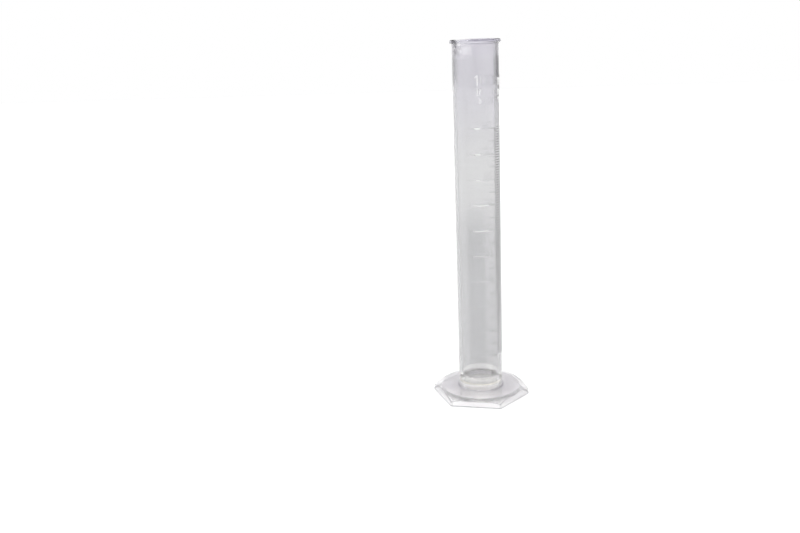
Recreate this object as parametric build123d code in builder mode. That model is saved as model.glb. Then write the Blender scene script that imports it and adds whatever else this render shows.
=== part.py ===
# Graduated measuring cylinder, 100 ml: a clear moulded tube bonded to a hexagonal foot.
# Millimetres, +Z up, origin on the bench under the axis; foot corners lie on the X axis.
import os
from math import atan2, cos, degrees, hypot, pi, radians, sin

from build123d import *

os.makedirs("parts", exist_ok=True)

# tube
total_height = 250.0
tube_radius = 15.7
tube_base = 11.2
base_rounding = 0.8
recess_radius = 13.15
recess_top = 11.95
floor_height = 13.1
floor_radius = 13.0
mouth_radius = 13.9
floor_rounding = 1.5

# rim bead and pouring spout
rim_radius = 17.2
rim_depth = 2.4
rim_rounding = 0.9
spout_angle = 240
spout_bottom = 238.0
spout_reach = 18.9
spout_wall = 1.6

# foot
foot_radius = 35.0
foot_corner = 2.2
plate_top = 6.2
cone_start = 29.4
cone_slope = 0.6
skirt_wall = 1.9
pocket_top = 3.2
neck_radius = 15.2
neck_top = 11.0
neck_fillet = 1.3
core_radius = 12.4
core_top = 8.8
spigot_radius = 13.0
spigot_top = 11.75
mark_distance = 26.2

# graduation: sharp ridges on the tube wall, all ending on one line
relief = 0.25
ridge_foot = 0.80
ridge_crest = 0.42
ridge_end = 17
long_start = -108
half_start = -53
short_start = -34
numeral_height = 3.6
numeral_end = -44
label_middle = -39
letter_stroke = 0.16  # stroke width as a share of the letter height


def turned(angle):
    """Plane through the axis: local x is the radius at this angle, local y is height."""
    return Plane.XZ.rotated((0, 0, angle))


def facing(angle, height, distance=0.0):
    """Plane upright on the tube wall, looking outwards."""
    a = radians(angle)
    return Plane(
        origin=(distance * cos(a), distance * sin(a), height),
        x_dir=(-sin(a), cos(a), 0),
        z_dir=(cos(a), sin(a), 0),
    )


def level_of(millilitres):
    """Height of the liquid surface in the tapered bore."""
    taper = (mouth_radius - floor_radius) / (total_height - floor_height)
    cube = floor_radius**3 + 3000 * taper * millilitres / pi
    return floor_height + (cube ** (1 / 3) - floor_radius) / taper


def beak(bottom, top, low, high):
    """Tapering spout between two outlines, each (half width, shoulder radius, tip radius)."""
    with BuildPart() as body:
        for height, (half, shoulder, tip) in ((bottom, low), (top, high)):
            with BuildSketch(Plane.XY.offset(height).rotated((0, 0, spout_angle))) as outline:
                with BuildLine():
                    Polyline(
                        (5, -half),
                        (shoulder, -half),
                        (tip, -0.12 * half),
                        (tip, 0.12 * half),
                        (shoulder, half),
                        (5, half),
                        close=True,
                    )
                make_face()
                corners = outline.vertices().filter_by(lambda v: hypot(v.X, v.Y) > 0.95 * shoulder)
                fillet(corners, 0.11 * half)
        loft()
    return body.part


# strokes of the letters on a grid six units tall
glyphs = {
    "0": [[(1, 0), (3, 0), (4, 1), (4, 5), (3, 6), (1, 6), (0, 5), (0, 1), (1, 0)]],
    "1": [[(1, 4.8), (2.4, 6), (2.4, 0)]],
    "2": [[(0, 5), (1, 6), (3, 6), (4, 5), (4, 4), (0, 0), (4, 0)]],
    "3": [[(0, 6), (4, 6), (2, 3.6), (3, 3.6), (4, 2.6), (4, 1), (3, 0), (1, 0), (0, 1)]],
    "4": [[(3, 0), (3, 6), (0, 2), (4, 2)]],
    "5": [[(4, 6), (0.3, 6), (0, 3.5), (3, 3.5), (4, 2.5), (4, 1), (3, 0), (1, 0), (0, 1)]],
    "6": [[(4, 5), (3, 6), (1, 6), (0, 5), (0, 1), (1, 0), (3, 0), (4, 1), (4, 2.4), (3, 3.4), (0, 3.4)]],
    "7": [[(0, 6), (4, 6), (1.5, 0)]],
    "8": [
        [(1, 3.2), (0, 4.2), (0, 5), (1, 6), (3, 6), (4, 5), (4, 4.2), (3, 3.2), (1, 3.2)],
        [(1, 3.2), (0, 2.2), (0, 1), (1, 0), (3, 0), (4, 1), (4, 2.2), (3, 3.2)],
    ],
    "9": [[(0, 1), (1, 0), (3, 0), (4, 1), (4, 5), (3, 6), (1, 6), (0, 5), (0, 3.6), (1, 2.6), (4, 2.6)]],
    "m": [
        [(0, 0), (0, 4)],
        [(0, 3), (1, 4), (1.6, 4), (2.2, 3.4), (2.2, 0)],
        [(2.2, 3), (3.2, 4), (3.8, 4), (4.4, 3.4), (4.4, 0)],
    ],
    "l": [[(0.5, 6), (0.5, 0)]],
    "i": [[(0.5, 4), (0.5, 0)], [(0.5, 5.6), (0.5, 5.9)]],
    "n": [[(0, 0), (0, 4)], [(0, 3), (1, 4), (2.2, 4), (3, 3.2), (3, 0)]],
    "C": [[(4, 5), (3, 6), (1, 6), (0, 5), (0, 1), (1, 0), (3, 0), (4, 1)]],
    "*": [[(0.5, 4.4), (1.3, 4.4), (1.8, 5), (1.3, 6), (0.5, 6), (0, 5), (0.5, 4.4)]],
}
advance = {"m": 6.0, "l": 2.6, "i": 2.6, "n": 4.6, "*": 3.0, " ": 2.6}


def letter(character, height):
    """One letter drawn with round-ended strokes, left edge at x = 0, foot at y = 0."""
    unit = height / 6
    with BuildSketch() as shape:
        for stroke in glyphs[character]:
            for (x0, y0), (x1, y1) in zip(stroke, stroke[1:]):
                with Locations((unit * (x0 + x1) / 2, unit * (y0 + y1) / 2)):
                    SlotCenterToCenter(
                        unit * hypot(x1 - x0, y1 - y0),
                        letter_stroke * height,
                        rotation=degrees(atan2(y1 - y0, x1 - x0)),
                    )
    return shape.sketch


def width_of(text, height):
    return sum(advance.get(c, 5.4) for c in text) * height / 6


def lettering(rows):
    """Raised lettering wrapped round the tube; rows are (text, height, base z, start angle)."""
    with BuildPart() as words:
        for text, height, base, start in rows:
            angle = start
            for character in text:
                step = degrees(width_of(character, height) / tube_radius)
                if character != " ":
                    ink = letter(character, height)
                    middle = ink.bounding_box().center().X
                    with BuildSketch(facing(angle + step * 0.37, base, tube_radius - 1.0)):
                        with Locations((-middle, 0)):
                            add(ink)
                    extrude(amount=1.6)
                angle += step
        with BuildSketch(Plane.XY.offset(tube_base)):
            Circle(tube_radius + relief)
            Circle(tube_radius, mode=Mode.SUBTRACT)
        extrude(amount=total_height - tube_base, mode=Mode.INTERSECT)
    return words.part


def ridges(volumes, start):
    """Raised graduation lines from one start angle to the common end line."""
    with BuildPart() as lines:
        with BuildSketch(turned(start)):
            with Locations([(tube_radius, level_of(v)) for v in volumes]):
                Polygon(
                    (0, -ridge_foot / 2),
                    (relief, -ridge_crest / 2),
                    (relief, ridge_crest / 2),
                    (0, ridge_foot / 2),
                    align=None,
                )
        revolve(axis=Axis.Z, revolution_arc=ridge_end - start)
    return lines.part


# tube: solid outside first, then the spout, then the bore
with BuildPart() as measuring_tube:
    with BuildSketch(Plane.XZ) as wall:
        with BuildLine():
            Polyline(
                (0, recess_top),
                (recess_radius, recess_top),
                (recess_radius, tube_base),
                (tube_radius, tube_base),
                (tube_radius, total_height - rim_depth),
                (rim_radius, total_height - rim_depth),
                (rim_radius, total_height),
                (0, total_height),
                close=True,
            )
        make_face()
        rounded = wall.vertices()
        fillet(rounded.filter_by(lambda v: v.X > rim_radius - 0.1), rim_rounding)
        fillet(wall.vertices().filter_by(lambda v: v.X > 15 and v.Y < tube_base + 0.1), base_rounding)
    revolve(axis=Axis.Z)
    add(
        beak(
            spout_bottom,
            total_height,
            (1.0, tube_radius - 1.2, tube_radius - 0.1),
            (6.6, tube_radius - 0.6, spout_reach),
        )
    )
    with BuildSketch(Plane.XZ) as bore:
        with BuildLine():
            Polyline(
                (0, floor_height),
                (floor_radius, floor_height),
                (mouth_radius, total_height),
                (0, total_height),
                close=True,
            )
        make_face()
        fillet(bore.vertices().filter_by(lambda v: v.X > 12 and v.Y < floor_height + 0.1), floor_rounding)
    revolve(axis=Axis.Z, mode=Mode.SUBTRACT)
    add(
        beak(
            spout_bottom + 1.5,
            total_height + 0.01,
            (0.9, mouth_radius - 1.0, mouth_radius - 0.1),
            (5.2, mouth_radius - 0.8, spout_reach - spout_wall),
        ),
        mode=Mode.SUBTRACT,
    )
measuring_tube.part.label = "measuring_tube"
export_step(measuring_tube.part, "parts/measuring_tube.step")

# foot: hexagonal plate with a skirt, coned like a nut, and a neck cored from below
with BuildPart() as hex_foot:
    with BuildSketch() as outline:
        RegularPolygon(foot_radius, 6)
        fillet(outline.vertices(), foot_corner)
    extrude(amount=plate_top)
    with BuildSketch(Plane.XZ):
        with BuildLine():
            Polyline(
                (0, 0),
                (foot_radius + 1, 0),
                (foot_radius + 1, plate_top - cone_slope * (foot_radius + 1 - cone_start)),
                (cone_start, plate_top),
                (0, plate_top),
                close=True,
            )
        make_face()
    revolve(axis=Axis.Z, mode=Mode.INTERSECT)
    with BuildSketch(Plane.XZ) as neck:
        with BuildLine():
            Polyline(
                (0, plate_top - 1),
                (neck_radius + neck_fillet, plate_top - 1),
                (neck_radius + neck_fillet, plate_top),
                (neck_radius, plate_top),
                (neck_radius, neck_top),
                (spigot_radius, neck_top),
                (spigot_radius, spigot_top),
                (0, spigot_top),
                close=True,
            )
        make_face()
        inner = neck.vertices().filter_by(lambda v: abs(v.X - neck_radius) < 0.01 and v.Y < plate_top + 0.1)
        fillet(inner, neck_fillet - 0.01)
    revolve(axis=Axis.Z)
    with BuildSketch() as pocket:
        RegularPolygon(foot_radius - skirt_wall / cos(pi / 6), 6)
        fillet(pocket.vertices(), foot_corner - skirt_wall / 2)
    extrude(amount=pocket_top, mode=Mode.SUBTRACT)
    with BuildSketch(Plane.XY.offset(pocket_top)):
        Circle(core_radius)
    extrude(amount=core_top - pocket_top, taper=2, mode=Mode.SUBTRACT)
hex_foot.part.label = "hex_foot"
export_step(hex_foot.part, "parts/hex_foot.step")

# bond between the neck and the tube, with the squeezed-out bead under the tube's overhang
with BuildPart() as bond_seam:
    with BuildSketch(Plane.XZ):
        with BuildLine():
            Line((recess_radius, neck_top), (neck_radius, neck_top))
            Line((neck_radius, neck_top), (neck_radius, neck_top - 0.45))
            ThreePointArc(
                (neck_radius, neck_top - 0.45),
                (neck_radius + 0.06, tube_base - 0.2),
                (tube_radius - base_rounding, tube_base),
            )
            Line((tube_radius - base_rounding, tube_base), (recess_radius, tube_base))
            Line((recess_radius, tube_base), (recess_radius, neck_top))
        make_face()
    revolve(axis=Axis.Z)
bond_seam.part.label = "bond_seam"
export_step(bond_seam.part, "parts/bond_seam.step")

# graduation lines
long_marks = ridges(range(10, 101, 10), long_start)
long_marks.label = "long_marks"
export_step(long_marks, "parts/long_marks.step")

half_marks = ridges(range(15, 100, 10), half_start)
half_marks.label = "half_marks"
export_step(half_marks, "parts/half_marks.step")

short_marks = ridges([v for v in range(11, 100) if v % 5], short_start)
short_marks.label = "short_marks"
export_step(short_marks, "parts/short_marks.step")

# numerals stand on the long lines, ending where the half lines begin
numeral_rows = []
for volume in range(10, 101, 10):
    text = str(volume)
    start = numeral_end - degrees(width_of(text, numeral_height) / tube_radius)
    numeral_rows.append((text, numeral_height, level_of(volume) + 0.9, start))
scale_numerals = lettering(numeral_rows)
scale_numerals.label = "scale_numerals"
export_step(scale_numerals, "parts/scale_numerals.step")

# three rows of generic lettering above the scale
label_rows = []
for text, height, base in (("100 ml", 6.0, 220.4), ("in  1 ml", 4.9, 213.8), ("in  20  *C", 3.4, 208.6)):
    start = label_middle - degrees(width_of(text, height) / tube_radius) / 2
    label_rows.append((text, height, base, start))
volume_label = lettering(label_rows)
volume_label.label = "volume_label"
export_step(volume_label, "parts/volume_label.step")

# plain moulding mark on the plate: a ring with a pointer
with BuildPart() as moulding_mark:
    with BuildSketch(Plane.XY.offset(plate_top)):
        with PolarLocations(mark_distance, 1, start_angle=spout_angle):
            Circle(2.6)
            Circle(2.1, mode=Mode.SUBTRACT)
            SlotCenterToCenter(2.2, 0.5, rotation=40)
    extrude(amount=0.2)
moulding_mark.part.label = "moulding_mark"
export_step(moulding_mark.part, "parts/moulding_mark.step")
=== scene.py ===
import math

import bmesh
import bpy
from mathutils import Matrix, Vector


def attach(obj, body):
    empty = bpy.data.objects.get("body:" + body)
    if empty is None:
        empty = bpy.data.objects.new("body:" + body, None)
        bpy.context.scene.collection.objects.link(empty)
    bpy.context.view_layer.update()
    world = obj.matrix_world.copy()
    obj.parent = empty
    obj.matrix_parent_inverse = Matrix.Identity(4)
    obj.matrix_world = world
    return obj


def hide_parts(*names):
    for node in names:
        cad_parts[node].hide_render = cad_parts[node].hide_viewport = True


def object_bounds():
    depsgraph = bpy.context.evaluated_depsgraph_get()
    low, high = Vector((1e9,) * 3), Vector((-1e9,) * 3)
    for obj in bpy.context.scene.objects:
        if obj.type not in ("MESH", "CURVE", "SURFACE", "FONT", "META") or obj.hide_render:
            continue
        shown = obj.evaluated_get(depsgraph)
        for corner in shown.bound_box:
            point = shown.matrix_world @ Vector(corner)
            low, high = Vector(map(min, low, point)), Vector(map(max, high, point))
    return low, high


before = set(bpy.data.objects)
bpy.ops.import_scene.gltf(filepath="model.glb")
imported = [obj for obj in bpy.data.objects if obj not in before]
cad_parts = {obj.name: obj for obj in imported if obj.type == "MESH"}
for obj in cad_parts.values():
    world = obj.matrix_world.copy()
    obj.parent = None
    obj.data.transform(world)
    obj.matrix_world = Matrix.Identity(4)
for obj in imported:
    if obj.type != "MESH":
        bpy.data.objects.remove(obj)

cadLow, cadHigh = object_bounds()
mm = 0.001
print("frame loaded, height", round(cadHigh.z, 4))


# small helpers for shaders

class Wire:                     # an output socket, so that shader maths reads as plain sums
    def __init__(self, paint, socket):
        self.paint = paint
        self.socket = socket

    def maths(self, operation, first, second=0.0):
        return self.paint.node("ShaderNodeMath", {"operation": operation}, {0: first, 1: second})

    def __add__(self, other):
        return self.maths("ADD", self, other)

    def __radd__(self, other):
        return self.maths("ADD", other, self)

    def __sub__(self, other):
        return self.maths("SUBTRACT", self, other)

    def __rsub__(self, other):
        return self.maths("SUBTRACT", other, self)

    def __mul__(self, other):
        return self.maths("MULTIPLY", self, other)

    def __rmul__(self, other):
        return self.maths("MULTIPLY", other, self)

    def __abs__(self):
        return self.maths("ABSOLUTE", self)

    def __gt__(self, other):
        return self.maths("GREATER_THAN", self, other)

    def __lt__(self, other):
        return self.maths("LESS_THAN", self, other)

    def atLeast(self, other):
        return self.maths("MAXIMUM", self, other)

    def root(self):
        return self.maths("SQRT", self)

    def turnFrom(self, along):
        return self.maths("ARCTAN2", self, along)


class Paint:                    # one node tree, for a material or for the world
    def __init__(self, owner, keep=False):
        self.owner = owner
        owner.use_nodes = True
        self.tree = owner.node_tree
        if not keep:
            self.tree.nodes.clear()

    def node(self, kind, settings=None, sockets=None, out=0):
        made = self.tree.nodes.new(kind)
        for key, value in (settings or {}).items():
            if key == "stops":
                ramp = made.color_ramp
                while len(ramp.elements) < len(value):
                    ramp.elements.new(0.5)
                for element, (place, grey) in zip(ramp.elements, value):
                    element.position = place
                    element.color = (grey, grey, grey, 1)
            else:
                setattr(made, key, value)
        for key, value in (sockets or {}).items():
            if isinstance(value, Wire):
                self.tree.links.new(value.socket, made.inputs[key])
            else:
                made.inputs[key].default_value = value
        return Wire(self, made.outputs[out]) if made.outputs else made

    def split(self, vector):
        return [self.node("ShaderNodeSeparateXYZ", None, {0: vector}, out=i) for i in range(3)]

    def stretched(self, coords, scale):
        return self.node("ShaderNodeVectorMath", {"operation": "MULTIPLY"}, {0: coords, 1: scale})

    def noise(self, coords, scale, detail, rough=0.5):
        sockets = {"Vector": coords, "Scale": scale, "Detail": detail, "Roughness": rough}
        return self.node("ShaderNodeTexNoise", {"noise_dimensions": "3D"}, sockets)

    def ramp(self, value, stops):
        return self.node("ShaderNodeValToRGB", {"stops": stops}, {0: value})

    def mixed(self, factor, first, second, blend="MIX"):
        settings = {"data_type": "RGBA", "blend_type": blend}
        return self.node("ShaderNodeMix", settings, {0: factor, 6: first, 7: second}, out=2)

    def eased(self, value, start, end, low=0.0, high=1.0):
        # goes smoothly from low to high while value goes from start to end
        sockets = {0: value, 1: start, 2: end, 3: low, 4: high}
        return self.node("ShaderNodeMapRange", {"interpolation_type": "SMOOTHSTEP"}, sockets)

    def across(self, length, span, low=0.0, high=1.0):
        # the same for a length in metres and a span given in mm
        return self.eased(length, span[0] * mm, span[1] * mm, low, high)


# small helpers for meshes

def arc(centre, radius, start, end, steps):
    # points on a quarter or so of a circle in the (radius, height) plane, angles in degrees
    turn = [math.radians(start + (end - start) * i / steps) for i in range(steps + 1)]
    return [(centre[0] + radius * math.cos(t), centre[1] + radius * math.sin(t)) for t in turn]


def finishedMesh(name, bm):
    bmesh.ops.recalc_face_normals(bm, faces=bm.faces)
    mesh = bpy.data.meshes.new(name)
    bm.to_mesh(mesh)
    bm.free()
    return mesh


def latheMesh(name, columns, angles):
    # columns holds one outline of (radius, height) in mm for each angle
    # an outline that starts on the axis also ends there, and any other closes on itself
    bm = bmesh.new()
    closed = columns[0][0][0] > 0
    grid = []
    for outline, angle in zip(columns, angles):
        c, s = math.cos(angle), math.sin(angle)
        inner = outline if closed else outline[1:-1]
        grid.append([bm.verts.new((r * c * mm, r * s * mm, z * mm)) for r, z in inner])
    rows = len(grid[0])
    total = len(grid)
    for i in range(total):
        here, there = grid[i], grid[(i + 1) % total]
        for j in range(rows if closed else rows - 1):
            k = (j + 1) % rows
            bm.faces.new((here[j], there[j], there[k], here[k]))
    if not closed:
        for end in (0, -1):
            tip = bm.verts.new((0, 0, columns[0][end][1] * mm))
            for i in range(total):
                bm.faces.new((tip, grid[i][end], grid[(i + 1) % total][end]))
    return finishedMesh(name, bm)


def addPiece(name, mesh, paint, nodes, smoothAngle=40, weighted=True):
    piece = bpy.data.objects.new(name, mesh)
    bpy.context.scene.collection.objects.link(piece)
    mesh.materials.clear()
    mesh.materials.append(paint)
    mesh.shade_smooth()
    mesh.set_sharp_from_angle(angle=math.radians(smoothAngle))
    if weighted:
        crisp = piece.modifiers.new("crispNormals", "WEIGHTED_NORMAL")
        crisp.keep_sharp = True
        crisp.weight = 80
    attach(piece, "root")
    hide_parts(*nodes)
    print(name, "made", len(mesh.polygons))


# clear moulded plastic; radii and heights are in mm, turns in degrees round the axis from +X

joint = {"reach": 15.0, "middle": 11.5, "half": 0.62}


def unbonded(paint, place):
    # 0 where the cement wets tube and foot, so that the faces inside the joint vanish
    x, y, z = paint.split(place)
    beyond = x * x + y * y > (joint["reach"] * mm) ** 2
    return beyond.atLeast(abs(z - joint["middle"] * mm) > joint["half"] * mm)


def meltTintAndShade(paint, place, colour, look):
    # bluer towards the mouth; painted shade greys it half way down, most in a column facing the camera, and
    # darkens both edges; the bore stays clear
    x, y, z = paint.split(place)
    flat = paint.stretched(place, (1, 1, 0))
    outward = paint.node("ShaderNodeVectorMath", {"operation": "NORMALIZE"}, {0: flat})

    def beside(zone):
        turn, (wide, narrow) = math.radians(zone["turn"]), zone["width"]
        way = (math.cos(turn), math.sin(turn), 0)
        near = paint.node("ShaderNodeVectorMath", {"operation": "DOT_PRODUCT"}, {0: outward, 1: way}, out=1)
        return paint.eased(near, math.cos(math.radians(wide)), math.cos(math.radians(narrow)))

    mouth, shadeColumn, bore, spout = look["mouth"], look["shadeColumn"], look["bore"], look["spout"]
    colour = paint.mixed(paint.across(z, mouth["heights"]), colour, mouth["colour"])
    # painted shade: darker from 155 mm down, all round and most in a column facing the camera
    share = shadeColumn["allRound"] + (1 - shadeColumn["allRound"]) * beside(shadeColumn)
    colour = paint.mixed(paint.across(z, shadeColumn["heights"]) * share, colour, shadeColumn["colour"])
    # painted shade: both edges of the tube darkened
    for side in look["sides"]:
        colour = paint.mixed(beside(side) * paint.across(z, side["heights"]), colour, side["colour"])
    inside = paint.eased(x * x + y * y, (bore["radii"][0] * mm) ** 2, (bore["radii"][1] * mm) ** 2)
    colour = paint.mixed(inside, colour, bore["colour"])
    for band in (look["lip"], look["bead"], look["end"]):
        colour = paint.mixed(paint.across(z, band["heights"]), colour, band["colour"])
    hazy = beside(spout) * paint.across(z, spout["heights"])
    end = paint.across(z, look["end"]["heights"])
    return colour, (1 - spout["thinner"] * hazy) * (1 - look["end"]["thinner"] * end)


def footLightAndShade(paint, place, colour, look):
    # painted light: lighter towards the front; painted shade: a darker ring at the neck fillet, a grey line
    # at the cone's crest and thin grey lines along the edges of the hexagon
    x, y, z = paint.split(place)
    colour = paint.mixed(paint.across(y, look["front"]["depths"]), colour, look["front"]["colour"])
    fromAxis = (x * x + y * y).root()
    reach = 0.0                 # distance from the axis to the side of the hexagon that a point would lie on
    for degrees in (30, 90, 150):
        way = x * math.cos(math.radians(degrees)) + y * math.sin(math.radians(degrees))
        reach = abs(way).atLeast(reach)
    outside = paint.across(reach, look["skirt"]).atLeast(paint.across(fromAxis, look["cone"]))
    neck, fillet, crest = look["neck"], look["fillet"], look["crest"]
    core = paint.across(fromAxis, neck["radii"])
    colour = paint.mixed(core, colour, neck["colour"])
    body = (look["alpha"] - look["thinner"] * outside) * (1 - neck["thinner"] * core)
    # painted shade in the fillet round the neck
    bend = paint.across(abs(fromAxis - fillet["radius"] * mm), fillet["widths"])
    colour = paint.mixed(bend, colour, fillet["colour"])
    # painted shade: the crest of the cone shows as a grey line at the back
    ring = paint.across(abs(fromAxis - crest["radius"] * mm), crest["widths"])
    ring = ring * (z > crest["above"] * mm) * paint.across(y, crest["depths"])
    colour = paint.mixed(ring, colour, crest["colour"])
    body = body.atLeast(ring * look["shadeCover"])
    # painted shade: thin grey lines along the edges of the hexagon
    for line in look["lines"]:
        on = paint.across(abs(reach - line["at"] * mm), (line["half"], line["half"] * look["lineCore"]))
        on = on * (z > line["low"] * mm) * (z < line["high"] * mm)
        colour = paint.mixed(on, colour, line["colour"])
        body = body.atLeast(on * look["shadeCover"])
    return colour, body


wear = {
    "hairScale": 2600.0,        # hairlines from handling and washing, drawn out up the moulding
    "hairStretch": 0.06,
    "hairStops": [(0.6, 0.0), (0.78, 1.0)],
    "hairDepth": 0.02,
    "patchScale": 160.0,        # dried water and fingermarks, dull patches a few millimetres wide
    "patchStops": [(0.48, 0.0), (0.72, 1.0)],
    "patchDepth": 0.01,
    "bumpDistance": 0.2,
}


def clearPlastic(name, look):
    paint = Paint(bpy.data.materials.new(name))
    place = paint.node("ShaderNodeTexCoord", out="Object")
    # slow drift of the melt along the moulding
    flow = paint.noise(paint.stretched(place, (1, 1, look["drift"])), look["flowScale"], 2.0)
    hair = paint.noise(paint.stretched(place, (1, 1, wear["hairStretch"])), wear["hairScale"], 3.0)
    lines = paint.ramp(hair, wear["hairStops"])
    smear = paint.ramp(paint.noise(place, wear["patchScale"], 4.0, 0.6), wear["patchStops"])
    colour = paint.mixed(flow, look["colour"], look["drifted"])
    if "mouth" in look:
        colour, body = meltTintAndShade(paint, place, colour, look)
    elif "lines" in look:
        colour, body = footLightAndShade(paint, place, colour, look)
    else:
        body = look["alpha"]
    height = flow * look["wave"] + lines * wear["hairDepth"] + smear * wear["patchDepth"]
    bump = paint.node(
        "ShaderNodeBump",
        None,
        {"Strength": look["bump"], "Distance": wear["bumpDistance"] * mm, "Height": height},
    )
    shader = paint.node(
        "ShaderNodeBsdfPrincipled",
        None,
        {
            "Base Color": colour,
            "Roughness": look["rough"] + look["smear"] * smear + look["hairline"] * lines,
            "IOR": look["bend"],
            "Alpha": unbonded(paint, place) * body,
            "Transmission Weight": look["clear"],
            "Normal": bump,
        },
    )
    paint.node("ShaderNodeOutputMaterial", None, {"Surface": shader})
    return paint.owner


tubeLook = {
    "colour": (0.52, 0.52, 0.525, 1),
    "drifted": (0.55, 0.55, 0.555, 1),
    # each colour comes in over its heights, and where a turn is given also within a width of it
    "mouth": {"heights": (160, 235), "colour": (0.52, 0.51, 0.55, 1)},
    # painted shade: a darker band low down, deepest in a column facing the camera
    "shadeColumn": {
        "heights": (155, 110),
        "turn": -88,
        "width": (28, 12),
        "allRound": 0.45,       # how much of it shows away from its turn
        "colour": (0.35, 0.35, 0.36, 1),
    },
    # painted shade on both edges: the right edge from 30 mm up, the left edge all the way
    "sides": (
        {"heights": (30, 140), "turn": 10, "width": (26, 14), "colour": (0.18, 0.18, 0.185, 1)},
        {"heights": (-200, -100), "turn": -172, "width": (26, 14), "colour": (0.44, 0.44, 0.45, 1)},
    ),
    "bore": {"radii": (15.0, 14.6), "colour": (0.985, 0.985, 0.985, 1)},
    "lip": {"heights": (236, 242), "colour": (0.71, 0.7, 0.735, 1)},
    "bead": {"heights": (247.1, 247.8), "colour": (0.5, 0.485, 0.545, 1)},
    "end": {"heights": (16.6, 14.7), "thinner": 0.75, "colour": (0.99, 0.975, 0.93, 1)},
    "spout": {"heights": (238.5, 242), "turn": 240, "width": (36, 14), "thinner": 0.5},
    "rough": 0.02,
    "smear": 0.05,
    "hairline": 0.04,
    "flowScale": 45.0,
    "drift": 0.25,
    "wave": 0.6,
    "bump": 0.05,
    "bend": 1.57,
    "clear": 0.94,
}
plainLook = {
    "colour": (0.77, 0.75, 0.785, 1),
    "drifted": (0.81, 0.795, 0.825, 1),
    "alpha": 0.85,
    "rough": 0.03,
    "smear": 0.06,
    "hairline": 0.04,
    "flowScale": 60.0,
    "drift": 1.0,
    "wave": 0.6,
    "bump": 0.05,
    "bend": 1.57,
    "clear": 0.95,
}
footLook = dict(
    plainLook,
    # painted light: the plate lighter towards the front
    front={"depths": (-8, -18), "colour": (1.0, 0.985, 1.0, 1)},
    thinner=0.58,               # how much clearer the cone and the skirt are than the middle
    skirt=(27.2, 28.3),
    cone=(27.6, 28.9),
    neck={"radii": (15.8, 14.8), "thinner": 0.15, "colour": (0.985, 0.975, 0.955, 1)},
    # painted shade: a darker ring in the fillet round the neck
    fillet={"radius": 16.1, "widths": (0.9, 0.4), "colour": (0.5, 0.47, 0.54, 1)},
    # painted shade: a grey line along the cone's crest at the back
    crest={
        "radius": 29.4,
        "widths": (0.6, 0.3),
        "above": 5.2,
        "depths": (-4, 10),
        "colour": (0.2, 0.19, 0.215, 1),
    },
    # painted shade: thin grey lines along the edges of the hexagon
    lines=(
        {"at": 28.3, "half": 0.3, "low": 3.9, "high": 7.0, "colour": (0.45, 0.44, 0.47, 1)},
        {"at": 29.9, "half": 0.35, "low": 2.5, "high": 7.0, "colour": (0.2, 0.19, 0.21, 1)},
        {"at": 30.1, "half": 0.35, "low": -0.1, "high": 0.8, "colour": (0.25, 0.24, 0.26, 1)},
    ),
    lineCore=0.6,
    # how much the painted shade lines cover
    shadeCover=0.95,                 # how much the lines hide what is behind them
)
scaleLook = dict(
    plainLook,
    colour=(0.93, 0.93, 0.94, 1),
    drifted=(0.96, 0.96, 0.96, 1),
    alpha=0.3,
    rough=0.1,
    clear=0.9,
)
cementLook = dict(
    plainLook,
    colour=(0.95, 0.9, 0.76, 1),
    drifted=(0.97, 0.95, 0.86, 1),
    rough=0.1,
    wave=1.0,
    bump=0.4,
)

tubePaint = clearPlastic("clearTubePlastic", tubeLook)
footPaint = clearPlastic("clearFootPlastic", footLook)
numeralPaint = clearPlastic("clearNumeralPlastic", dict(scaleLook, alpha=0.18))
labelPaint = clearPlastic("clearLabelPlastic", dict(scaleLook, alpha=0.25))
scalePaint = clearPlastic("clearRaisedPlastic", scaleLook)
cementPaint = clearPlastic("yellowedCement", cementLook)


def paintedCrestLight(material, crestLight):
    # painted highlight: raised plastic is painted white in front and low down, where a lamp would glint on
    # it; towards the right edge, painted shade greys the marks and painted light whitens the label
    paint = Paint(material, keep=True)
    output = next(n for n in paint.tree.nodes if n.type == "OUTPUT_MATERIAL")
    shader = Wire(paint, output.inputs["Surface"].links[0].from_socket)
    place = paint.node("ShaderNodeTexCoord", out="Object")
    x, y, z = paint.split(place)
    turn = y.turnFrom(x) * (180 / math.pi)
    grain = paint.noise(place, crestLight["grainScale"], 3.0)

    # where the painted highlight shows, round a turn and over heights
    def glinting(zone):
        wide, narrow = zone["width"]
        near = paint.eased(abs(turn - zone["turn"]), wide, narrow)
        return near * paint.across(z, zone["heights"], zone["least"], zone["most"])

    lower = glinting(crestLight["lower"]) * (z < crestLight["lower"]["below"] * mm)
    front = glinting(crestLight["front"]).atLeast(lower)
    # painted shade on the marks and painted light on the label towards the right edge; the painted highlight
    # goes over it
    side = paint.eased(turn, *crestLight["side"]["turns"])
    for factor, zone in ((side, crestLight["side"]), (front, crestLight["front"])):
        crest = paint.node(
            "ShaderNodeBsdfPrincipled",
            None,
            {
                "Base Color": zone["colour"],
                "Roughness": crestLight["rough"] + crestLight["grainRough"] * grain,
                "Transmission Weight": zone["clear"],
                "IOR": crestLight["bend"],
            },
        )
        share = factor * (crestLight["cover"] + crestLight["grainCover"] * grain)
        shader = paint.node("ShaderNodeMixShader", None, {0: share, 1: shader, 2: crest})
    paint.tree.links.new(shader.socket, output.inputs["Surface"])


# painted highlight in front and low down
marksCrestLight = {
    "front": {
        "turn": -81,
        "width": (12, 5),
        "heights": (90, 200),
        "least": 0.15,
        "most": 0.6,
        "colour": (0.97, 0.97, 0.97, 1),
        "clear": 0.0,
    },
    "lower": {"turn": -75, "width": (22, 18), "heights": (40, 130), "least": 0.08, "most": 0.4, "below": 148},
    # painted shade towards the right edge
    "side": {"turns": (-36, -28), "colour": (0.47, 0.47, 0.48, 1), "clear": 0.0},
    "rough": 0.3,
    "cover": 0.7,
    "grainScale": 900.0,
    "grainRough": 0.2,
    "grainCover": 0.4,
    "bend": 1.57,
}
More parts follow.
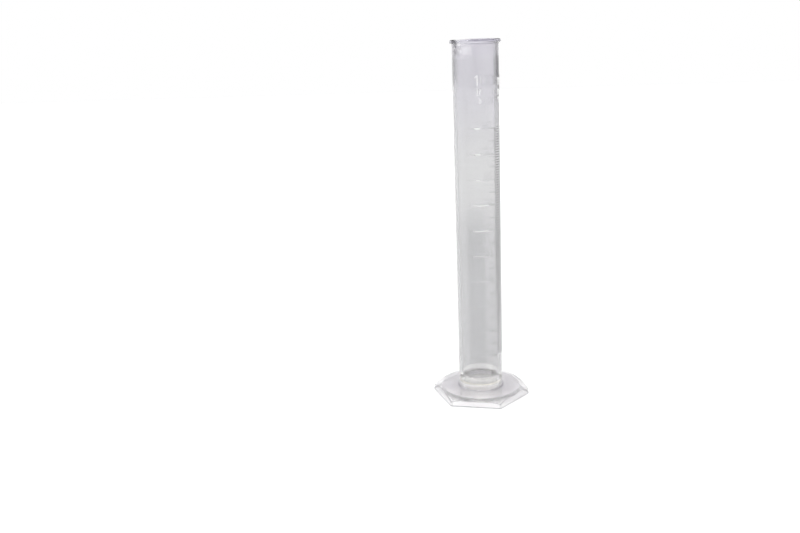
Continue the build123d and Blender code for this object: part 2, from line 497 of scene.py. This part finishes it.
# painted highlight on the label in front
labelCrestLight = dict(
    marksCrestLight,
    front=dict(marksCrestLight["front"], turn=-80, width=(14, 7), most=0.36),
    # painted light towards the right edge
    side={"turns": (-24, -16), "colour": (0.95, 0.95, 0.95, 1), "clear": 0.2},
)
paintedCrestLight(scalePaint, marksCrestLight)
paintedCrestLight(labelPaint, labelCrestLight)
print("materials made")


# measuring tube: turned wall with the spout pushed out of it

tube = {
    "segments": 216,
    "crowded": 0.55,            # how much the columns crowd round the spout
    "rings": (*range(20, 240, 20), 236),
    "firstRing": 13,            # the lowest ring of the wall, and of the bore
    "firstInside": 16,
    "fineRings": 0.6,           # distance of the rings near the mouth
    "wall": 15.7,
    "foot": 11.2,
    "recess": 13.15,
    "recessTop": 11.95,
    "floor": 13.1,
    "floorRadius": 13.0,
    "mouth": 13.9,
    "top": 250.0,
    "beadRadius": 17.2,
    "beadDepth": 2.4,
    "rounds": {
        "recess": 0.3,
        "foot": 0.8,
        "hollow": 0.4,          # under the bead
        "belly": 0.8,
        "crown": 0.9,
        "mouth": 0.6,
        "floor": 1.5,
    },
}
spout = {
    "angle": 240,
    "start": 238.0,
    "outer": 3.0,               # how far the lip is pushed out, outside and inside
    "inner": 3.1,
    "curve": 1.25,
    "width": 19,                # degrees
    "beadShare": 0.47,          # how much less the bead is pushed out than the wall
    "droop": 0.4,
    "droopCurve": 1.5,
    "droopWidth": 26,           # degrees
}


def beakLift(kind, away, height):
    # how far the wall is pushed out, in a direction some way round from the spout
    share = (height - spout["start"]) / (tube["top"] - spout["start"])
    if share <= 0:
        return 0.0
    spread = math.degrees(away) / spout["width"]
    return spout[kind] * share ** spout["curve"] * math.exp(-spread * spread)


def tubeOutline(angle):
    away = (angle - math.radians(spout["angle"]) + math.pi) % (2 * math.pi) - math.pi
    wall, mouth, top, bead = tube["wall"], tube["mouth"], tube["top"], tube["beadRadius"]
    rounds = tube["rounds"]
    under = top - tube["beadDepth"]
    outer = [(tube["recess"], tube["foot"])]
    outer += arc((wall - rounds["foot"], tube["foot"] + rounds["foot"]), rounds["foot"], -90, 0, 5)
    outer += [(wall, z) for z in (tube["firstRing"], *tube["rings"])]
    outer += [(wall, spout["start"] + tube["fineRings"] * i) for i in range(15)]
    outer += arc((wall + rounds["hollow"], under - rounds["hollow"]), rounds["hollow"], 180, 90, 3)
    outer += arc((bead - rounds["belly"], under + rounds["belly"]), rounds["belly"], -90, 0, 5)
    ring = arc((bead - rounds["crown"], top - rounds["crown"]), rounds["crown"], 10, 90, 6)
    ring += arc((mouth + rounds["mouth"], top - rounds["mouth"]), rounds["mouth"], 90, 170, 5)
    bore = []
    fine = [top - rounds["mouth"] - tube["fineRings"] * i for i in range(1, 19)]
    for z in (*fine, *reversed(tube["rings"]), tube["firstInside"]):
        grow = (z - tube["floor"]) / (top - tube["floor"])
        bore.append((tube["floorRadius"] + (mouth - tube["floorRadius"]) * grow, z))
    corner = (tube["floorRadius"] - rounds["floor"], tube["floor"] + rounds["floor"])
    bore += arc(corner, rounds["floor"], 0, -90, 6)
    line = [(0, tube["recessTop"]), (tube["recess"] - rounds["recess"], tube["recessTop"])]
    line += [(tube["recess"], tube["recessTop"] - rounds["recess"])]

    def lifted(point, kind):
        r, z = point
        bulge = max(0.0, r - wall) / (bead - wall) if kind == "outer" else 0
        return (r + beakLift(kind, away, z) * (1 - spout["beadShare"] * bulge), z)

    line += [lifted(p, "outer") for p in outer]
    newOut = lifted((bead, top), "outer")[0]
    newIn = lifted((mouth, top), "inner")[0]
    sag = spout["droop"] * max(0.0, 1 - abs(away) / math.radians(spout["droopWidth"])) ** spout["droopCurve"]
    for r, z in ring:
        share = (r - mouth) / (bead - mouth)
        line.append((newIn + (newOut - newIn) * share, z - sag))
    line += [lifted(p, "inner") for p in bore]
    line.append((0, tube["floor"]))
    return line


def evenAngles(count):
    return [2 * math.pi * i / count for i in range(count)]


def spreadAngles(count, centre, spread):
    # more columns round one direction
    return [a - spread * math.sin(a - centre) for a in evenAngles(count)]


angles = spreadAngles(tube["segments"], math.radians(spout["angle"]), tube["crowded"])
tubeMesh = latheMesh("measuringTube", [tubeOutline(a) for a in angles], angles)
addPiece("measuringTube", tubeMesh, tubePaint, ["measuring_tube"], weighted=False)


# foot: hexagonal plate coned like a nut, with a neck and a hollow underside

foot = {
    "radius": 35.0,
    "corner": 2.2,
    "plate": 6.2,
    "coneStart": 29.4,
    "coneEase": ((-0.8, 0), (-0.3, -0.01), (0.2, -0.14)),      # from the place where the cone starts
    "coneSlope": 0.6,
    "skirt": 1.9,
    "pocket": 3.2,
    "pocketDraft": 0.15,
    "neck": 15.2,
    "neckTop": 11.0,
    "neckFillet": 1.3,
    "core": 12.4,
    "coreTop": 8.8,
    "coreDraft": 0.2,
    "spigot": 13.0,
    "spigotTop": 11.75,
    "rounds": {
        "spigot": 0.3,
        "neck": 0.25,
        "edge": 0.45,
        "base": 0.3,
        "pocket": 0.7,
        "coreFoot": 0.4,
        "core": 1.0,
    },
}


def hexReach(angle, apothem, corner):
    # distance from the axis to a hexagon with rounded corners, corners on the X axis
    turn = abs((angle + math.pi / 6) % (math.pi / 3) - math.pi / 6)     # angle from the nearest corner
    centre = (apothem - corner) / math.cos(math.pi / 6)
    side = centre * math.sin(turn)
    if math.atan2(corner / 2, centre + corner * math.cos(math.pi / 6)) > turn:
        return centre * math.cos(turn) + math.sqrt(max(corner * corner - side * side, 0))
    return apothem / math.cos(math.pi / 6 - turn)


def footAngles():
    # crowded at the rounded corners
    steps = [0.25 * i for i in range(9)] + [2.5, 3.5, 5, 7, 9.5] + list(range(12, 31, 3))
    one = steps + [60 - s for s in reversed(steps[1:-1])]
    return [math.radians(60 * k + s) for k in range(6) for s in one]


def footOutline(angle):
    apothem = foot["radius"] * math.cos(math.pi / 6)
    reach = hexReach(angle, apothem, foot["corner"])
    hole = hexReach(angle, apothem - foot["skirt"], foot["corner"] - foot["skirt"] / 2)
    plate, cone, rounds = foot["plate"], foot["coneStart"], foot["rounds"]
    line = [(0, foot["spigotTop"]), (foot["spigot"] - rounds["spigot"], foot["spigotTop"])]
    line += [(foot["spigot"], foot["spigotTop"] - rounds["spigot"]), (foot["spigot"], foot["neckTop"])]
    line += arc((foot["neck"] - rounds["neck"], foot["neckTop"] - rounds["neck"]), rounds["neck"], 90, 0, 3)
    bend = foot["neckFillet"]
    line += arc((foot["neck"] + bend, plate + bend), bend, 180, 270, 7)
    line += [(cone + r, plate + z) for r, z in foot["coneEase"]]
    # rounded top edge: from the cone over to the side wall
    edge, lean = rounds["edge"], math.atan(foot["coneSlope"])
    drop = plate - foot["coneSlope"] * (reach - cone)
    tall = drop - edge * math.tan((math.pi / 2 - lean) / 2)
    line += arc((reach - edge, tall), edge, 90 - math.degrees(lean), 0, 4)
    base = rounds["base"]
    line += arc((reach - base, base), base, 0, -90, 3)
    line += arc((hole + base, base), base, -90, -180, 3)
    # hollow underside: pocket round the core, and the core's own hollow
    deep, low, high = rounds["pocket"], rounds["coreFoot"], rounds["core"]
    line += arc((hole - foot["pocketDraft"] - deep, foot["pocket"] - deep), deep, 0, 90, 4)
    line += arc((foot["core"] + low, foot["pocket"] + low), low, -90, -180, 3)
    line += arc((foot["core"] - foot["coreDraft"] - high, foot["coreTop"] - high), high, 0, 90, 5)
    line.append((0, foot["coreTop"]))
    return line


angles = footAngles()
footMesh = latheMesh("hexFoot", [footOutline(a) for a in angles], angles)
addPiece("hexFoot", footMesh, footPaint, ["hex_foot"])


# bond: thin ring of cement with a squeezed-out bead

bond = {
    "segments": 180,
    "inside": 13.2,
    "outside": 15.0,
    "low": 10.95,
    "high": 11.25,
    "bead": 0.5,
    "lap": 0.06,
    "swell": 0.12,
    "belly": 0.08,
    "onTube": 0.5,
    "rise": 0.1,
    "waves": ((0.08, 5, 0.7), (0.05, 11, 0.0)),     # size, count round the ring, and where each starts
}


def bondOutline(angle):
    # the bead wanders a little, as cement does
    wander = sum(size * math.sin(count * angle + start) for size, count, start in bond["waves"])
    reach = foot["neck"] + bond["swell"] + wander
    below = foot["neckTop"] - bond["bead"] - wander
    return [
        (bond["inside"], bond["low"]),
        (bond["outside"], bond["low"]),
        (foot["neck"] - bond["lap"], below),
        (foot["neck"] + bond["lap"], below),
        (reach, foot["neckTop"] - foot["rounds"]["neck"]),
        (reach + bond["belly"], foot["neckTop"]),
        (tube["wall"] - bond["onTube"], bond["high"] + bond["rise"]),
        (tube["wall"] - tube["rounds"]["foot"], bond["high"]),
        (bond["inside"], bond["high"]),
    ]


angles = evenAngles(bond["segments"])
bondMesh = latheMesh("bondSeam", [bondOutline(a) for a in angles], angles)
addPiece("bondSeam", bondMesh, cementPaint, ["bond_seam"], weighted=False)


# raised graduation, each ridge sunk a hair into the wall

ridge = {
    "relief": 0.25,
    "foot": 0.8,
    "flare": 0.02,
    "crest": 0.42,
    "shoulder": (0.05, 0.03, 0.04),     # below the crest, beyond its edge and back from its edge
    "sunk": 0.07,
    "step": 2.0,                        # degrees
    "apart": 0.6,                       # lines stand at least this far from each other
}


def ridgesLike(node):
    # height and angles of each line, read from the CAD node it stands for
    points = [v.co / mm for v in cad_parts[node].data.vertices]
    points.sort(key=lambda p: p.z)
    groups = [[points[0]]]
    for p in points[1:]:
        if p.z - groups[-1][-1].z > ridge["apart"]:
            groups.append([])
        groups[-1].append(p)
    found = []
    for group in groups:
        turns = [math.degrees(math.atan2(p.y, p.x)) for p in group]
        found.append(((group[0].z + group[-1].z) / 2, min(turns), max(turns)))
    return found


def ridgeSection():
    wall, crest = tube["wall"], tube["wall"] + ridge["relief"]
    below, beyond, back = ridge["shoulder"]
    half = [
        (wall - ridge["sunk"], ridge["foot"] / 2 + ridge["flare"]),
        (crest - below, ridge["crest"] / 2 + beyond),
        (crest, ridge["crest"] / 2 - back),
    ]
    return [(r, -z) for r, z in half] + half[::-1]


def ridgeMesh(name, node):
    bm = bmesh.new()
    section = ridgeSection()
    for height, start, end in ridgesLike(node):
        count = max(2, round((end - start) / ridge["step"]))
        loops = []
        for i in range(count + 1):
            turn = math.radians(start + (end - start) * i / count)
            c, s = math.cos(turn), math.sin(turn)
            loops.append([bm.verts.new((r * c * mm, r * s * mm, (height + z) * mm)) for r, z in section])
        for here, there in zip(loops, loops[1:]):
            for j in range(len(section)):
                k = (j + 1) % len(section)
                bm.faces.new((here[j], there[j], there[k], here[k]))
        bm.faces.new(loops[0])
        bm.faces.new(loops[-1][::-1])
    return finishedMesh(name, bm)


for name, node in (("longMarks", "long_marks"), ("halfMarks", "half_marks"), ("shortMarks", "short_marks")):
    addPiece(name, ridgeMesh(name, node), scalePaint, [node])


# raised lettering and the moulding mark: the CAD's own shapes, set a hair into the surface they stand on

lettering = {
    "weld": 0.002,              # points closer than this are joined
    "flat": 1,                  # degrees
    "smooth": 25,               # degrees
    "wallSplit": 0.12,          # half way up the relief: points nearer the wall go down into it
    "wallSunk": 0.09,
    "plateSplit": 0.1,
    "plateSunk": 0.06,
}


def sunkCopy(name, node, sink):
    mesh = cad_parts[node].data.copy()
    mesh.name = name
    bm = bmesh.new()
    bm.from_mesh(mesh)
    bmesh.ops.remove_doubles(bm, verts=bm.verts, dist=lettering["weld"] * mm)
    for v in bm.verts:
        v.co = sink(v.co)
    flat = math.radians(lettering["flat"])
    bmesh.ops.dissolve_limit(bm, angle_limit=flat, verts=bm.verts, edges=bm.edges)
    bmesh.ops.recalc_face_normals(bm, faces=bm.faces)
    bm.to_mesh(mesh)
    bm.free()
    return mesh


def intoWall(co):
    r = math.hypot(co.x, co.y)
    if r > (tube["wall"] + lettering["wallSplit"]) * mm:
        return co
    return Vector((co.x, co.y, 0)) * ((tube["wall"] - lettering["wallSunk"]) * mm / r) + Vector((0, 0, co.z))


def intoPlate(co):
    if co.z > (foot["plate"] + lettering["plateSplit"]) * mm:
        return co
    return Vector((co.x, co.y, (foot["plate"] - lettering["plateSunk"]) * mm))


for name, node, sink, paint, slotName in (
    ("scaleNumerals", "scale_numerals", intoWall, numeralPaint, "raised_scale"),
    ("volumeLabel", "volume_label", intoWall, labelPaint, "raised_scale"),
    ("mouldingMark", "moulding_mark", intoPlate, footPaint, "foot_plastic"),
):
    addPiece(name, sunkCopy(name, node, sink), paint, [node], lettering["smooth"])


# floor, light and camera; lengths are in metres here

stage = {
    "floor": (0.92, 0.92, 0.92, 1),
    "drifted": (0.95, 0.95, 0.95, 1),
    "grainScale": 30.0,
    "rough": 0.7,
    "reach": 6.0,
    "gap": 0.0003,              # the floor lies this far under the foot
}


def floorPaint():
    paint = Paint(bpy.data.materials.new("paleTable"))
    place = paint.node("ShaderNodeTexCoord", out="Object")
    grain = paint.noise(place, stage["grainScale"], 5.0)
    colour = paint.mixed(grain, stage["floor"], stage["drifted"])
    sockets = {"Base Color": colour, "Roughness": stage["rough"]}
    shader = paint.node("ShaderNodeBsdfPrincipled", None, sockets)
    paint.node("ShaderNodeOutputMaterial", None, {"Surface": shader})
    return paint.owner


floorMesh = bpy.data.meshes.new("floor")
corners = ((-1, -1), (1, -1), (1, 1), (-1, 1))
floorMesh.from_pydata(
    [(stage["reach"] * x, stage["reach"] * y, -stage["gap"]) for x, y in corners],
    [],
    [(0, 1, 2, 3)],
)
floor = bpy.data.objects.new("floor", floorMesh)
floorMesh.materials.append(floorPaint())
bpy.context.scene.collection.objects.link(floor)

camera = {
    "around": -82.75,           # degrees round the axis from +X
    "distance": 0.5493,
    "height": 0.2356,
    "turn": 5.161,
    "tilt": -12.669,
    "roll": -2.108,
    "lens": 35.895,
    "sensor": 36,
    "nearest": 0.01,
    "aside": -0.0101,
    "above": -0.0289,
}

sky = {
    "turn": camera["around"] + 180,
    # brightness round the horizon, by degrees to the right of the way the camera faces
    "ring": ((-180, 0.9), (-140, 1.3), (-70, 1.3), (-50, 0.75), (-18, 1.0), (-7, 1.28), (7, 1.28), (18, 0.9),
             (50, 0.4), (70, 1.3), (140, 1.3), (180, 0.9)),
    # brightness from the horizon up: backdrop, dark band, softbox overhead
    "upward": ((0.2, 1.0), (0.36, 0.55), (0.48, 0.55), (0.62, 1.64)),
    "strength": 1.0,
}


def paintSky():
    world = bpy.data.worlds.new("studio")
    bpy.context.scene.world = world
    paint = Paint(world)
    way = paint.node("ShaderNodeTexCoord", out="Generated")
    x, y, z = paint.split(way)
    away = math.radians(sky["turn"])
    along = x * math.cos(away) + y * math.sin(away)
    across = x * math.sin(away) - y * math.cos(away)
    turn = across.turnFrom(along) * (0.5 / math.pi) + 0.5
    around = paint.ramp(turn, [(degrees / 360 + 0.5, grey) for degrees, grey in sky["ring"]])
    studio = paint.mixed(1.0, around, paint.ramp(z, sky["upward"]), "MULTIPLY")
    seen = paint.node("ShaderNodeLightPath", out="Is Camera Ray")
    colour = paint.mixed(seen, studio, (1, 1, 1, 1))
    glow = paint.node("ShaderNodeBackground", None, {"Color": colour, "Strength": sky["strength"]})
    paint.node("ShaderNodeOutputWorld", None, {"Surface": glow})


paintSky()

lamp = {"at": (-0.1, -1.2, 1.0), "aim": 0.5, "size": 0.25, "power": 4.0}    # aimed half way up the tube
light = bpy.data.lights.new("windowLight", "AREA")
light.shape = "SQUARE"
light.size = lamp["size"]
light.energy = lamp["power"]
holder = bpy.data.objects.new("windowLight", light)
holder.location = lamp["at"]
aim = Vector((0, 0, cadHigh.z * lamp["aim"])) - Vector(lamp["at"])
holder.rotation_euler = aim.to_track_quat("-Z", "Y").to_euler()
bpy.context.scene.collection.objects.link(holder)

lens = bpy.data.cameras.new("viewCamera")
lens.lens = camera["lens"]
lens.sensor_width = camera["sensor"]
lens.clip_start = camera["nearest"]
lens.shift_x = camera["aside"]
lens.shift_y = camera["above"]
viewCamera = bpy.data.objects.new("viewCamera", lens)
bpy.context.scene.collection.objects.link(viewCamera)
side = math.radians(camera["around"])
heading = math.radians(camera["around"] + 90 + camera["turn"])
facing = Matrix.Rotation(heading, 4, "Z") @ Matrix.Rotation(math.radians(90 + camera["tilt"]), 4, "X")
facing = facing @ Matrix.Rotation(math.radians(camera["roll"]), 4, "Z")
spot = Vector((camera["distance"] * math.cos(side), camera["distance"] * math.sin(side), camera["height"]))
viewCamera.matrix_world = Matrix.Translation(spot) @ facing
bpy.context.scene.camera = viewCamera
bpy.context.scene.view_settings.view_transform = "Standard"
print("stage, light and camera set")
